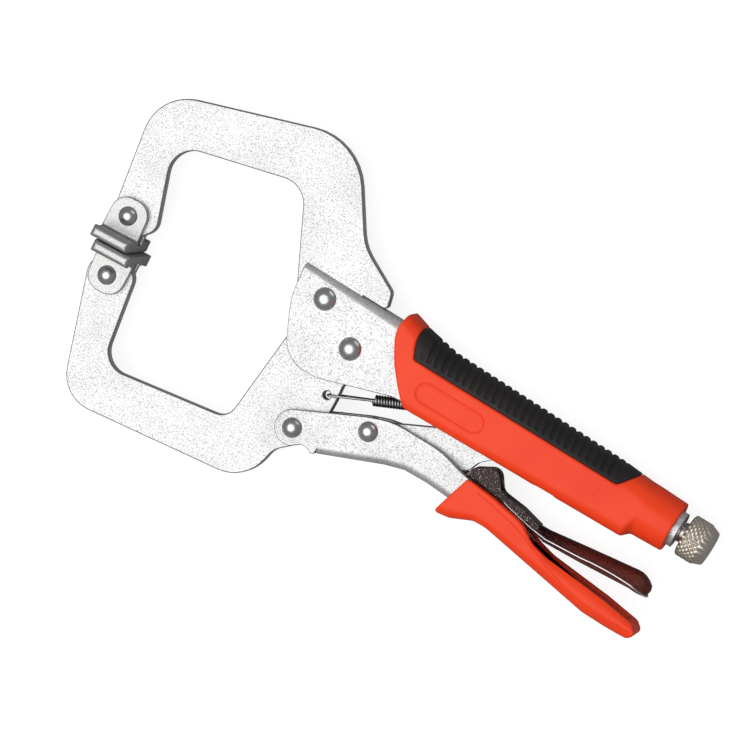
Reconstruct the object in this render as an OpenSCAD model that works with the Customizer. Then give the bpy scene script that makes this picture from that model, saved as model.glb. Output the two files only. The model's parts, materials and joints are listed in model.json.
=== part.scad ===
/* [Jaws] */
// Thickness of both jaw plates
jaw_t = 5; // [4:0.5:6]
// Length of the upper arm, from the left corner to the right corner of its outer edge
arm_l = 83.2; // [75:1:95]
// Height of the fixed jaw's outer left corner above the jaw pivot
throat_up = 47; // [42:1:60]
// Depth of the moving jaw's outer left corner below the jaw pivot
throat_down = 77.9; // [74:1:90]
// Side clearance between a jaw and each cheek
side_gap = 0.2; // [0.1:0.05:0.4]

/* [Channels] */
// Thickness of the sheet of both channels
sheet = 2.5; // [2:0.25:3]
// Outside radius of the bends along the body's spine, at its front end
bend_r = 2.6; // [1.8:0.1:3.4]
// Height of the spine's top face above the jaw pivot
spine_y = 20; // [19:0.5:21]
// Outside width of the body where it holds the link and the screw
body_w = 14.6; // [14:0.2:17]
// Outside width of the lower handle under its grip
handle_w = 14; // [13.4:0.2:15]

/* [Rivets] */
// Shank diameter of the four body rivets
rivet_d = 6; // [5:0.5:7]
// Shank diameter of the two pad rivets
pad_rivet_d = 5; // [4:0.5:6]
// Head diameter of the two rivets in the cheeks
cheek_head_d = 9.3; // [8.5:0.1:10]
// Head diameter of the two rivets in the lower handle
handle_head_d = 8.2; // [7.6:0.1:9]
// Head diameter of the two pad rivets
pad_head_d = 7.8; // [7:0.1:8.6]
// Height of every rivet head
head_h = 2.4; // [1.8:0.1:3]
// Radial clearance of a piece that turns on a rivet
turn_gap = 0.05; // [0.03:0.01:0.1]

/* [Pads] */
// Distance from a pad's rivet to its clamping face
pad_reach = 12.2; // [11.4:0.1:12.3]
// Length of a pad across the jaws
pad_depth = 32; // [26:1:36]
// Width of a pad along the jaws
pad_w = 16.6; // [15:0.2:19]
// Thickness of a pad's ears
ear_t = 2.2; // [1.8:0.1:2.8]
// Thickness of a pad's face plate
face_t = 3; // [2.4:0.1:3.4]
// Tilt of the closed pads against the handle's line, in degrees
pad_tilt = 3.5; // [1:0.5:6]

/* [Adjusting screw] */
// Diameter of the screw
screw_d = 8.8; // [7:0.1:9]
// Diameter of the knurled knob
knob_d = 17.5; // [16:0.5:20]
// Length of the knob
knob_l = 11.5; // [10:0.5:16]
// Length of the threaded bush in the body's barrel
bush_l = 25; // [18:1:28]
// Clearance between the screw's tip and the link at mid-travel
tip_gap = 0.4; // [0.3:0.1:1]

/* [Toggle] */
// Thickness of the toggle link
link_t = 4.8; // [4:0.2:5]
// Width of the release lever's paddle
paddle_w = 15; // [13:0.5:17]
// Thickness of the release lever's sheet
lever_t = 1.8; // [1.5:0.1:2.1]
// Diameter of the release lever's pin
lever_pin_d = 3; // [2.5:0.5:3.5]

/* [Spring] */
// Outside diameter of the spring's coils
coil_d = 4.8; // [4:0.2:5.2]
// Diameter of the spring's wire
wire_d = 1.1; // [0.8:0.1:1.3]

/* [Grips] */
// Width of the upper grip across the flats
grip_w = 23; // [21:0.5:26]
// Outside diameter of the round collar behind the upper grip
collar_d = 21; // [19:0.5:22]
// Thickness of the black inlay
inlay_t = 1.8; // [1.2:0.1:2.2]
// Width of the lower grip
lower_grip_w = 17.6; // [17:0.2:20]

/* [Hidden] */
$fn = 48;

// Places in the clamp's plane are measured from the jaw pivot: +X runs along the screw towards the
// knob, +Y towards the fixed jaw, and the jaws' middle plane is Z = 0. place() moves them to the row.
seat = 0.05;
rise = 17.7;
pad_gap = 0.3;
pad_step = 2.8;
fixed_rivet = [-18.5, 11.6];
handle_pivot = [-4.3, -38.6];
link_pivot = [22.6, -24.1];
link_end = [84.9, 6.3];
lever_pivot = [80, -23.6];
spring_hole = [0.8, -20.8];
spring_tongue = [70, 10.6];
axis_y = link_end.y;

// Channels
slot_w = jaw_t + 2 * side_gap;
cheek_w = slot_w + 2 * sheet;
notch_x = -6.3;
swell_start = 24;
swell_end = 36;
barrel_end = 146.5;
barrel_start = barrel_end - 34.5;
collar_start = barrel_end - 16;
collar_end = barrel_end - 2.5;
bore_gap = 0.4;
spine_bend = 14;
spine_low = 16.4;
barrel_top = axis_y + body_w / 2;
cheek_foot = -5.5;
roll_r = cheek_w / 2 - 0.6;

// Screw, with the room that the link's coupled end needs at mid-travel
link_end_r = 4.5;
link_excess = 4.1;
tip_x = link_end.x + link_end_r + link_excess + tip_gap;
knob_x = barrel_end + 2.3;
knob_seat = 9;
bush_r = screw_d / 2 + 1.3;

// Jaws
head_r = 12.2;
face_dir = [cos(pad_tilt), sin(pad_tilt)];
press_dir = [sin(pad_tilt), -cos(pad_tilt)];
outer_right = [-38.8, throat_up + arm_l * sin(rise)];
outer_left = outer_right - arm_l * [cos(rise), sin(rise)];
upper_rivet = outer_left + [14.6, -48.4];
lower_rivet = upper_rivet + (2 * pad_reach + pad_gap) * press_dir + pad_step * face_dir;
outer_low = [lower_rivet.x + 7.5, -throat_down];
outer_heel = [-10.4, -throat_down + 10.3];

// Row frame: the box's middle, with the lowest point at Z = 0
low_x = arc_centre(upper_rivet + [-6.3, -6.8], outer_left, outer_right, 18.5).x - 18.5;
high_y = arc_centre(outer_left, outer_right, [-15.6, 37], 25).y + 25;
low_y = arc_centre(lower_rivet + [-9.6, 6.8], outer_low, outer_heel, 15).y - 15;
middle = [(low_x + knob_x + knob_l) / 2, (low_y + high_y) / 2];

function unit(v) = v / norm(v);
function half_angle(a, b, c) = acos(unit(a - b) * unit(c - b)) / 2;
function arc_centre(a, b, c, r) = b + unit(unit(a - b) + unit(c - b)) * r / sin(half_angle(a, b, c));

// The arc of radius r that rounds the corner b between a and c
function corner_arc(a, b, c, r) =
    let (centre = arc_centre(a, b, c, r),
         reach = r / tan(half_angle(a, b, c)),
         start = b + unit(a - b) * reach - centre,
         stop = b + unit(c - b) * reach - centre,
         from = atan2(start.y, start.x),
         sweep = (atan2(stop.y, stop.x) - from + 540) % 360 - 180,
         steps = max(2, ceil(abs(sweep) / 10)))
    [for (i = [0:steps]) centre + r * [cos(from + sweep * i / steps), sin(from + sweep * i / steps)]];

// A polygon's points from a path of [place, radius] corners
function rounded(path) =
    [for (i = [0:len(path) - 1])
        let (n = len(path), a = path[(i + n - 1) % n][0], b = path[i][0], c = path[(i + 1) % n][0])
        each path[i][1] > 0 ? corner_arc(a, b, c, path[i][1]) : [b]];

function rim(centre, r, from, to, step) =
    [for (a = [from:step:to]) [centre + r * [cos(a), sin(a)], 0]];

module place() {
    translate([-middle.x, -middle.y, pad_depth / 2]) children();
}

module plate(path, t) {
    linear_extrude(height = t, center = true) polygon(rounded(path));
}

module disc(place, r, t) {
    translate([place.x, place.y, -t / 2]) cylinder(r = r, h = t);
}

module rod_x(x, y, r, l) {
    translate([x, y, 0]) rotate([0, 90, 0]) cylinder(r = r, h = l);
}

// A thin slice across the handle, from y0 to y1, w wide, with its corners rounded
module slice(x, y0, y1, w, low_r, high_r) {
    translate([x, 0, 0]) rotate([0, 90, 0]) linear_extrude(height = 0.05)
        polygon(rounded([[[-w / 2, y0], low_r], [[w / 2, y0], low_r],
                         [[w / 2, y1], high_r], [[-w / 2, y1], high_r]]));
}

// A solid through slices [x, y0, y1, w, low_r, high_r], drawn in by inset on every side
module loft(slices, inset = 0) {
    for (i = [0:len(slices) - 2]) hull() {
        inset_slice(slices[i], inset);
        inset_slice(slices[i + 1], inset);
    }
}

module inset_slice(s, inset) {
    slice(s[0], s[1] + inset, s[2] - inset, s[3] - 2 * inset,
          s[4] > 0 ? s[4] - inset : 0, s[5] > 0 ? s[5] - inset : 0);
}

// A rivet through work of thickness grip, with a domed head at both ends
module rivet(place, d, head_d, grip) {
    ball_r = (head_d * head_d / 4 + head_h * head_h) / (2 * head_h);
    disc(place, d / 2, grip);
    for (side = [0, 1]) mirror([0, 0, side]) translate([place.x, place.y, grip / 2])
        intersection() {
            translate([0, 0, head_h - ball_r]) sphere(r = ball_r, $fn = 64);
            cylinder(r = head_d, h = head_h + 1);
        }
}

// ---- Body ----

function spine_at(x) = lookup(x, [[spine_bend, spine_y], [swell_end, spine_low], [barrel_start, barrel_top]]);

cheek_path = [[[-32.3, spine_y], 0.6], [[-30.8, 5], 30], [[-20.5, -17.2], 14], [[-6.5, -17], 10],
              [[spine_bend, -10.5], 0], [[spine_bend, spine_y], 0]];
body_front = [[-33, -30, spine_y, cheek_w, 0, bend_r], [spine_bend, -30, spine_y, cheek_w, 0, roll_r]];
body_swell = [[spine_bend, -10.5, spine_y, cheek_w, 0, roll_r],
              [swell_start, -7.4, spine_at(swell_start), cheek_w, 0, roll_r],
              [swell_end, cheek_foot, spine_at(swell_end), body_w, 0, roll_r],
              [98, cheek_foot, spine_at(98), body_w, 0, roll_r + 1],
              [barrel_start, axis_y - body_w / 2, barrel_top, body_w, body_w / 2 - 0.01, body_w / 2 - 0.01]];

module body_solid() {
    intersection() {
        plate(cheek_path, cheek_w + 1);
        loft(body_front);
    }
    loft(body_swell);
    rod_x(barrel_start, axis_y, body_w / 2, barrel_end - barrel_start);
}

module body_hollow() {
    translate([-40, -30, -slot_w / 2]) cube([40 + swell_start + 0.1, 30 + spine_y - sheet, slot_w]);
    hull() {
        slice(swell_start, -30, spine_at(swell_start) - sheet, slot_w, 0, 0);
        slice(swell_end, -30, spine_at(swell_end) - sheet, body_w - 2 * sheet, 0, 0);
    }
    hull() {
        slice(swell_end, -30, spine_at(swell_end) - sheet, body_w - 2 * sheet, 0, 0);
        slice(96, -30, spine_at(96) - sheet, body_w - 2 * sheet, 0, 1);
    }
    rod_x(90, axis_y, screw_d / 2 + bore_gap, barrel_end);
    rod_x(barrel_end - bush_l, axis_y, bush_r, bush_l + 1);
}

module body_channel() {
    color([0.9, 0.9, 0.91]) place() {
        difference() {
            body_solid();
            body_hollow();
            translate([-40, 0, -slot_w / 2]) cube([40 + notch_x, spine_y + 5, slot_w]);
            disc(fixed_rivet, rivet_d / 2, cheek_w + 1);
            disc([0, 0], rivet_d / 2, cheek_w + 1);
        }
        translate([spring_tongue.x - 1, spring_tongue.y - 1.8, -0.95])
            cube([2, spine_at(spring_tongue.x) - spring_tongue.y, 1.9]);
    }
}

module fixed_jaw() {
    path = concat(
        [[upper_rivet + [-6.3, -6.8], 6], [outer_left, 18.5], [outer_right, 25], [[-15.6, 37], 20],
         [[2.8, 27.2], 3.6], [[4.6, spine_y + seat], 1.6], [[notch_x - seat, spine_y + seat], 0]],
        rim([0, 0], head_r + 0.4, 121.5, 151.5, 7.5),
        [[[-27.3, 0.1], 2], [[-31, 9], 10], [outer_right + [-9.95, -26.7], 10.5],
         [outer_left + [15.6, -14.8], 10.4], [upper_rivet + [12.4, 0.6], 6],
         [upper_rivet + [6.6, -6.8], 5]]);
    color([0.9, 0.9, 0.91]) place() difference() {
        plate(path, jaw_t);
        disc(fixed_rivet, rivet_d / 2, jaw_t + 1);
        disc(upper_rivet, pad_rivet_d / 2 + turn_gap, jaw_t + 1);
    }
}

module fixed_jaw_rivet() {
    color("silver") place() rivet(fixed_rivet, rivet_d, cheek_head_d, cheek_w);
}

module jaw_pivot_rivet() {
    color("silver") place() rivet([0, 0], rivet_d, cheek_head_d, cheek_w);
}

module screw_bush() {
    color("silver") place() difference() {
        rod_x(barrel_end - bush_l, axis_y, bush_r, bush_l);
        rod_x(barrel_end - bush_l - 1, axis_y, screw_d / 2 + turn_gap, bush_l + 2);
    }
}

// ---- Upper grip ----

function grip_ring(x, d) = [x, axis_y - d / 2, axis_y + d / 2, d, d / 2 - 0.01, d / 2 - 0.01];

grip_slices = [[12, -8.6, 25.2, grip_w - 2, 4, 6], [23, -8.6, 21.9, grip_w - 1, 4, 7],
               [36, -8.5, 19.6, grip_w, 4, 8], [collar_start - 18.5, -7.2, 18.2, grip_w - 0.6, 6, 9],
               [collar_start - 2.5, -6.9, 17, grip_w - 1.4, 6, 9],
               grip_ring(collar_start, collar_d + 1), grip_ring(collar_end, collar_d)];
grip_outline = [[[13.4, 23.2], 3], [[12.9, 15.6], 10], [[18.6, 4.6], 40], [[31.8, -10], 0],
                [[barrel_end + 4, -10], 0], [[barrel_end + 4, 30], 0], [[16.5, 30], 0]];
inlay_outline = [[[24.8, 10.3], 0.6], [[21.8, 17], 14], [[20.6, 30], 0],
                 [[collar_start - 4.5, 30], 0], [[collar_start - 8.1, 16.6], 3],
                 [[collar_start - 13.1, 10.3], 1.5]];

module grip_body(inset = 0) {
    intersection() {
        loft(grip_slices, inset);
        plate(grip_outline, grip_w + 1);
    }
}

// Where the black inlay lies: all but the grip's core inside its outline
module inlay_room() {
    difference() {
        plate(inlay_outline, grip_w + 2);
        loft(grip_slices, inlay_t);
    }
}

// The room for the body inside the grip, open below
module body_room() {
    loft([body_front[0], for (i = [0:3]) let (s = body_swell[i]) [s[0], -30, s[2], s[3], 0, s[5]]], -seat);
    round = body_swell[4];
    loft([body_swell[3], round, [barrel_end, round[1], round[2], round[3], round[4], round[5]]], -seat);
}

module upper_grip() {
    pill = [[35.6, 1.5], [57.3, 1.6]];
    color([0.95, 0.32, 0.21]) place() difference() {
        grip_body();
        inlay_room();
        body_room();
        for (side = [-1, 1]) translate([0, 0, side * (grip_w / 2 + 0.3)]) hull()
            for (p = pill) disc(p, 3.9, 1.6);
    }
}

module grip_inlay() {
    color([0.17, 0.16, 0.16]) place() intersection() {
        grip_body();
        inlay_room();
    }
}

// ---- Moving jaw and spring ----

module moving_jaw() {
    path = concat(
        [[lower_rivet + [-11.9, 6.8], 7.5], [outer_low, 15], [outer_heel, 17], [[-6.8, -50.5], 8]],
        rim(handle_pivot, 7.2, -60, 0, 10),
        [[[5.6, -25.4], 30], [[4.4, -13.5], 4], [[9.6, -8.4], 4]],
        rim([0, 0], head_r, -22.5, 150, 7.5),
        [[[-11.3, 5.2], 0], [[-24.9, 0.2], 3], [[-24.9, -9], 20], [outer_heel + [-18.7, 18.05], 7],
         [outer_low + [8.1, 19.7], 9.4], [lower_rivet + [9.5, 6.8], 6]]);
    color([0.9, 0.9, 0.91]) place() difference() {
        plate(path, jaw_t);
        disc([0, 0], rivet_d / 2 + turn_gap, jaw_t + 1);
        disc(handle_pivot, rivet_d / 2 + turn_gap, jaw_t + 1);
        disc(lower_rivet, pad_rivet_d / 2 + turn_gap, jaw_t + 1);
        disc(spring_hole, 1.6, jaw_t + 1);
    }
}

module wire(a, b) {
    run = b - a;
    translate(a) {
        sphere(r = wire_d / 2, $fn = 16);
        rotate([0, acos(run.z / norm(run)), atan2(run.y, run.x)])
            cylinder(r = wire_d / 2, h = norm(run), $fn = 16);
    }
}

module tension_spring() {
    span = spring_tongue - spring_hole;
    reach = norm(span) + 2.6;
    first = 18.5;
    last = reach - 10;
    coils = floor((last - first) / wire_d);
    rear = first + coils * wire_d - 0.6;
    coil_r = coil_d / 2 - wire_d / 2;
    hook_z = coil_r - 0.15;
    jaw_side = jaw_t / 2 + wire_d + 0.1;
    color([0.3, 0.3, 0.3]) place() translate([spring_hole.x, spring_hole.y, 0])
        rotate([0, 0, atan2(span.y, span.x)]) {
            translate([first, 0, 0]) rotate([0, 90, 0]) rotate_extrude($fn = 32)
                polygon(concat([[coil_r - wire_d / 2, coils * wire_d], [coil_r - wire_d / 2, 0]],
                    [for (i = [0:coils - 1]) each
                        [[coil_r, i * wire_d], [coil_d / 2, (i + 0.5) * wire_d]]],
                    [[coil_r, coils * wire_d]]));
            wire([0, 0, jaw_side], [0, 0, -jaw_side]);
            wire([reach, 0, hook_z], [reach, 0, -hook_z]);
            for (side = [-1, 1]) {
                wire([0, 0, side * jaw_side], [first + 0.6, 0, side * hook_z]);
                wire([rear, 0, side * hook_z], [reach, 0, side * hook_z]);
                translate([reach, 0, side * hook_z]) sphere(r = wire_d / 2, $fn = 16);
            }
        }
}

// ---- Lower handle, its rivets, lever and grip ----

handle_low_r = 3.6;
handle_spine = [[8, -43.1, 0, cheek_w, handle_low_r, 0], [34, -32.4, 0, cheek_w, handle_low_r, 0],
                [42, -30, 0, cheek_w, handle_low_r, 0],
                [52, -29.5, 0, (cheek_w + handle_w) / 2, handle_low_r, 0],
                [62, -29.9, 0, handle_w, handle_low_r, 0], [78, -29.9, 0, handle_w, handle_low_r, 0],
                [146, -38.2, 0, handle_w, handle_low_r, 0]];
handle_top = [[[146, -34.2], 1], [[133, -32.4], 30], [[110, -30], 30], [[100, -27.6], 12],
              [[93, -24], 20], [[79, -20.9], 60], [[62, -18], 30], [[52, -15.4], 30],
              [[29, -15.6], 30], [[19.3, -19.3], 20]];

// A point on the channel's floor, over the lower edge at slice i
function floor_at(i) = [handle_spine[i][0], handle_spine[i][1] + 1.06 * sheet];

module handle_solid(extra = 0) {
    ear = rim(handle_pivot, 7.2, 115.5, 290.5, 12.5);
    scallop = [[[3.4, -41.6], 4], [[7, -43.6], 1], [[8.2, -43], 0]];
    below = [[[8.2, -50], 0], [[147, -50], 0], [[147, -34.2], 0]];
    intersection() {
        loft(handle_spine, -extra);
        plate(concat([[[8.1, -50], 0]], below, handle_top, [[[8.1, -24.65], 0]]), handle_w + 2);
    }
    if (extra == 0) plate(concat(ear, scallop, [[[8.2, -24.6], 0]]), cheek_w);
}

// The room between the channel's walls, from where it has its full width
module handle_room() {
    plate([[floor_at(4), 0], [floor_at(5), 0], [floor_at(6) + [0.6, 0], 0],
           [[146.6, 0], 0], [[62, 0], 0]], handle_w - 2 * sheet);
}

module lower_handle() {
    color([0.85, 0.86, 0.85]) place() difference() {
        handle_solid();
        plate([[[-20, -60], 0], [[8.4, -60], 0], [[9, floor_at(0).y + 0.5], 0], [floor_at(1), 0],
               [floor_at(2) + [0.1, 0], 0], [[42.1, 0], 0], [[-20, 0], 0]], slot_w);
        hull() {
            slice(42, floor_at(2).y, 0, slot_w, 0, 0);
            slice(62, floor_at(4).y, 0, handle_w - 2 * sheet, 0, 0);
        }
        handle_room();
        disc(handle_pivot, rivet_d / 2, cheek_w + 1);
        disc(link_pivot, rivet_d / 2, cheek_w + 1);
        disc(lever_pivot, lever_pin_d / 2, handle_w + 1);
    }
}

module handle_pivot_rivet() {
    color("silver") place() rivet(handle_pivot, rivet_d, handle_head_d, cheek_w);
}

module link_pivot_rivet() {
    color("silver") place() rivet(link_pivot, rivet_d, handle_head_d, cheek_w);
}

module lever_pin() {
    color("silver") place() disc(lever_pivot, lever_pin_d / 2, handle_w);
}

module lower_grip() {
    w = lower_grip_w;
    path = [[[66.2, -18.6], 1.2], [[79, -19.8], 20], [[93.5, -22.4], 12], [[100.5, -27], 8],
            [[108, -28.9], 20], [[135, -31.3], 60], [[149.5, -33.4], 2.5], [[153, -36.5], 2],
            [[150.5, -39.8], 3], [[134, -41], 20], [[78, -31.4], 12], [[68, -36.2], 3],
            [[60.4, -37.4], 1.2]];
    slices = [[59, -37.6, 0, w, 5, 0], [67, -36.4, 0, w, 5, 0], [76, -32.2, 0, w, 4, 0],
              [82, -32.1, 0, w, 4, 0], [130, -40.5, 0, w, 6, 0], [155, -40.8, 0, w, 6, 0]];
    color([0.95, 0.3, 0.2]) place() difference() {
        intersection() {
            loft(slices);
            plate(path, w + 1);
        }
        handle_solid(seat);
        handle_room();
    }
}

module toggle_link() {
    span = link_end - link_pivot;
    l = norm(span);
    path = concat(rim([0, 0], 5.5, 50, 270, 10),
        [[[21.5, -7], 20], [[33.6, -11.8], 8], [[40.3, -11.8], 4], [[44.3, -8.2], 5],
         [[52.1, -5.8], 15], [[l - 3, -link_end_r], 8]],
        rim([l, 0], link_end_r, -90, 80, 10), [[[l - 4, 4], 6], [[10, 4], 15]]);
    color([0.8, 0.8, 0.8]) place() translate([link_pivot.x, link_pivot.y, 0])
        rotate([0, 0, atan2(span.y, span.x)]) difference() {
            plate(path, link_t);
            disc([0, 0], rivet_d / 2 + turn_gap, link_t + 1);
        }
}

// The paddle's frame: its nose's centre, and its tilt in degrees
lever_nose = [141.9, -24.6];
lever_tilt = 7.6;
lever_rise = 4;
lever_r = (paddle_w * paddle_w / 4 + lever_rise * lever_rise) / (2 * lever_rise);
lever_edge = lever_r - lever_rise;

// The lever's crowned sections [x, half width, crown, edge] in the paddle's frame
lever_crowns = [[-22, paddle_w / 2, lever_r, lever_edge], [-38, 5.6, 9.3, 5.7], [-43, 4.1, 10.2, 6.9]];

// The section x along a round nose of radius r
function nose_crown(x, r) =
    [x, sqrt(r * r - x * x - lever_edge * lever_edge), sqrt(r * r - x * x), lever_edge];

module crown_slice(s, t, foot) {
    h = s[2] - s[3];
    r = (s[1] * s[1] + h * h) / (2 * h);
    turn = asin(s[1] / r);
    low = foot > 0 ? [[(r - t) * sin(turn), s[3] - foot], [(t - r) * sin(turn), s[3] - foot]] : [];
    translate([s[0], 0, 0]) rotate([0, 90, 0]) linear_extrude(height = 0.05)
        polygon(concat([for (i = [-6:6])
                            [(r - t) * sin(turn * i / 6), s[2] - r + (r - t) * cos(turn * i / 6)]], low));
}

// The lever's solid dome, drawn in by t and then left open below by foot
module lever_dome(t, foot) {
    r = lever_r - t;
    reach = sqrt(r * r - lever_edge * lever_edge);
    for (i = [0, 1]) hull() {
        crown_slice(lever_crowns[i], t, foot);
        crown_slice(lever_crowns[i + 1], t, foot);
    }
    hull() {
        crown_slice(lever_crowns[0], t, foot);
        for (a = [0:14:84]) crown_slice(nose_crown(reach * sin(a), r), 0, foot);
    }
}

module release_lever() {
    ear_out = (handle_w - 2 * sheet) / 2 - 0.2;
    ear_in = link_t / 2 + 0.3;
    ear = [[[63.3, -20.4], 1.5], [[65.4, -14.4], 3], [[74.2, -9.4], 4], [[79.5, -17], 4],
           [[90, -18.1], 8], [[99, -20.4], 0], [[99, -23.5], 0.8], [[90, -24.6], 8],
           [[83.6, -27], 3], [[76.6, -27], 3.3], [[70.5, -22], 6]];
    top = [[[79, -16.5], 0], [[84, -18], 6], [[90, -18.1], 12], [[99, -20.4], 0]];
    under = [for (i = [len(top) - 1:-1:0]) [top[i][0] - [0.3, lever_t], top[i][1]]];
    color([0.5, 0.48, 0.46]) place() difference() {
        union() {
            plate(concat(top, under), 2 * ear_out);
            difference() {
                plate(ear, 2 * ear_out);
                translate([60, -40, -ear_in]) cube([50, 40, 2 * ear_in]);
            }
            disc([67, -18.4], 1.1, 2 * ear_out - 1);
            translate([lever_nose.x, lever_nose.y, 0]) rotate([0, 0, lever_tilt]) difference() {
                lever_dome(0, 0);
                translate([-0.2, 0, 0]) lever_dome(lever_t, 3);
            }
        }
        disc(lever_pivot, lever_pin_d / 2 + turn_gap, handle_w);
    }
}

// ---- Adjusting screw ----

module screw_shank() {
    color("silver") place() rod_x(tip_x, axis_y, screw_d / 2, knob_x + knob_seat - 0.2 - tip_x);
}

module adjusting_knob() {
    color([0.75, 0.73, 0.7]) place() translate([knob_x, axis_y, 0]) rotate([0, 90, 0]) difference() {
        rotate_extrude() polygon([[0, 0], [knob_d / 2 - 1, 0], [knob_d / 2, 1],
                                  [knob_d / 2, knob_l - 4], [knob_d / 2 - 1.6, knob_l], [0, knob_l]]);
        translate([0, 0, -1]) cylinder(r = screw_d / 2 + turn_gap, h = knob_seat + 1);
    }
}

// ---- Pads ----

ear_in = jaw_t / 2 + side_gap + 0.05;
ear_out = ear_in + ear_t;

// A pad about its rivet, with its clamping face down
module pad() {
    top = face_t - pad_reach;
    half = pad_depth / 2;
    ear = [[[-8.2, top + 0.4], 0], [[-7.6, 7.2], 6.5], [[7.6, 7.2], 6.5], [[8.2, top + 0.4], 0]];
    hem_r = (face_t + 1) / 2;
    section = [[[-half, -pad_reach], hem_r], [[half, -pad_reach], hem_r], [[half, top + 1.8], hem_r],
               [[half - 4, top + 1.8], 1], [[half - 4.4, top], 0], [[-half + 4.4, top], 0],
               [[-half + 4, top + 1.8], 1], [[-half, top + 1.8], hem_r]];
    foot = [[[ear_in, top - 0.5], 0], [[half - 3.5, top - 0.5], 0], [[half - 3.5, top + 1.4], 0.6],
            [[ear_out, top + 1.4], 1], [[ear_out, top + 4], 0], [[ear_in, top + 4], 0]];
    difference() {
        union() {
            intersection() {
                rotate([0, 90, 0]) linear_extrude(height = pad_w, center = true) polygon(rounded(section));
                rotate([90, 0, 0]) linear_extrude(height = 60, center = true)
                    polygon(rounded([[[-pad_w / 2, -half], 2], [[pad_w / 2, -half], 2],
                                     [[pad_w / 2, half], 2], [[-pad_w / 2, half], 2]]));
            }
            for (side = [0, 1]) mirror([0, 0, side]) {
                translate([0, 0, ear_in]) linear_extrude(height = ear_t) polygon(rounded(ear));
                rotate([0, -90, 0]) linear_extrude(height = pad_w - 0.6, center = true)
                    polygon(rounded(foot));
            }
        }
        disc([0, 0], pad_rivet_d / 2, 2 * ear_out + 1);
    }
}

module upper_pad() {
    color([0.85, 0.85, 0.85]) place() translate([upper_rivet.x, upper_rivet.y, 0])
        rotate([0, 0, pad_tilt]) pad();
}

module upper_pad_rivet() {
    color("silver") place() rivet(upper_rivet, pad_rivet_d, pad_head_d, 2 * ear_out);
}

module lower_pad() {
    color([0.85, 0.85, 0.85]) place() translate([lower_rivet.x, lower_rivet.y, 0])
        rotate([0, 0, pad_tilt]) mirror([0, 1, 0]) pad();
}

module lower_pad_rivet() {
    color("silver") place() rivet(lower_rivet, pad_rivet_d, pad_head_d, 2 * ear_out);
}

body_channel();
fixed_jaw();
fixed_jaw_rivet();
jaw_pivot_rivet();
screw_bush();
upper_grip();
grip_inlay();
moving_jaw();
tension_spring();
lower_handle();
handle_pivot_rivet();
link_pivot_rivet();
lever_pin();
lower_grip();
toggle_link();
release_lever();
screw_shank();
adjusting_knob();
upper_pad();
upper_pad_rivet();
lower_pad();
lower_pad_rivet();
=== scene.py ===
"""Dresses the locking C clamp: plated steel plates, moulded grips, polished rivets, knurled screw."""

import json
import math

import bmesh
import bpy
from bpy.props import FloatProperty, FloatVectorProperty, IntProperty
from mathutils import Matrix, Vector
from mathutils.bvhtree import BVHTree


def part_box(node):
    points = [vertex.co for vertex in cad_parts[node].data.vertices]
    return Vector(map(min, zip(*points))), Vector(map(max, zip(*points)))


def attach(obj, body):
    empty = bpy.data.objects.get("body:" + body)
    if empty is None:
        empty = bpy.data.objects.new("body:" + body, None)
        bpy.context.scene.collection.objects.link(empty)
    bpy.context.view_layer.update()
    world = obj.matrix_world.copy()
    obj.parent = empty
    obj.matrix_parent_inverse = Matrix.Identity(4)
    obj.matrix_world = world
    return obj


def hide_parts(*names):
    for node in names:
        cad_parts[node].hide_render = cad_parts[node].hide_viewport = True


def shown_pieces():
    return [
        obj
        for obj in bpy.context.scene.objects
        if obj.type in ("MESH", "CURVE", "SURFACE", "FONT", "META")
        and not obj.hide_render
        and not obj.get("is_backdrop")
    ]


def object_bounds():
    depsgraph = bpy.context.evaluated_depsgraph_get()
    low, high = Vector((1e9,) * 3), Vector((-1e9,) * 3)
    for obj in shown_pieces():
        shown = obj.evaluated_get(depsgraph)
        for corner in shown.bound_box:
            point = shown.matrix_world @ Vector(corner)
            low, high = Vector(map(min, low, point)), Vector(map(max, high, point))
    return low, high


bl_info = {
    "name": "Locking C Clamp Dressing",
    "version": (1, 0, 0),
    "blender": (4, 5, 0),
    "location": "View3D > Sidebar > Clamp",
    "description": "Models and finishes the visible pieces of a locking C clamp around its solids",
    "category": "Object",
}

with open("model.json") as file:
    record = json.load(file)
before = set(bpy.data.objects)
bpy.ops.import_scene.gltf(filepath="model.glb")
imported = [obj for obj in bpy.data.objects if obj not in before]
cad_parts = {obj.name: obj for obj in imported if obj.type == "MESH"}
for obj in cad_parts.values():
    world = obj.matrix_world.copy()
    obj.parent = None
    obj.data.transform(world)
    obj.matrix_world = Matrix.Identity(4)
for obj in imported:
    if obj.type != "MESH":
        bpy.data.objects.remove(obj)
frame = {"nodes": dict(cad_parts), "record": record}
CAD_BOX = [list(corner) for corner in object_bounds()]

MM = 0.001
BODY_OF = {node: body for body, nodes in frame["record"]["behaviour"]["bodies"].items() for node in nodes}
SLOT_OF = {part["node"]: part["material_slot"] for part in frame["record"]["subparts"]}


def middle(node):
    """The middle of a node's box, in metres."""
    low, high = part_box(node)
    return (low + high) / 2


JAW_PIVOT = middle("jaw_pivot_rivet")


def at(x, y, z=0.0):
    """A place measured in millimetres from the jaw pivot, in the object's frame."""
    return JAW_PIVOT + Vector((x, y, z)) * MM


def local(point):
    """The place in millimetres from the jaw pivot."""
    return (Vector(point) - JAW_PIVOT) / MM


# ---- The photograph's frame ----

FRAME_W, FRAME_H = 750, 750
LONG_SIDE = max(FRAME_W, FRAME_H)
LENS = 216.0
SENSOR = 36.0
SHIFT = (0.0, 0.0)
FOCAL_PX = LENS / SENSOR * LONG_SIDE
CAMERA_PLACE = (301.3, 276.7, 1710.5)
CAMERA_RIGHT = Vector((0.8396, 0.4953, -0.2230))
CAMERA_UP = Vector((-0.5178, 0.8538, -0.0530))

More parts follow.
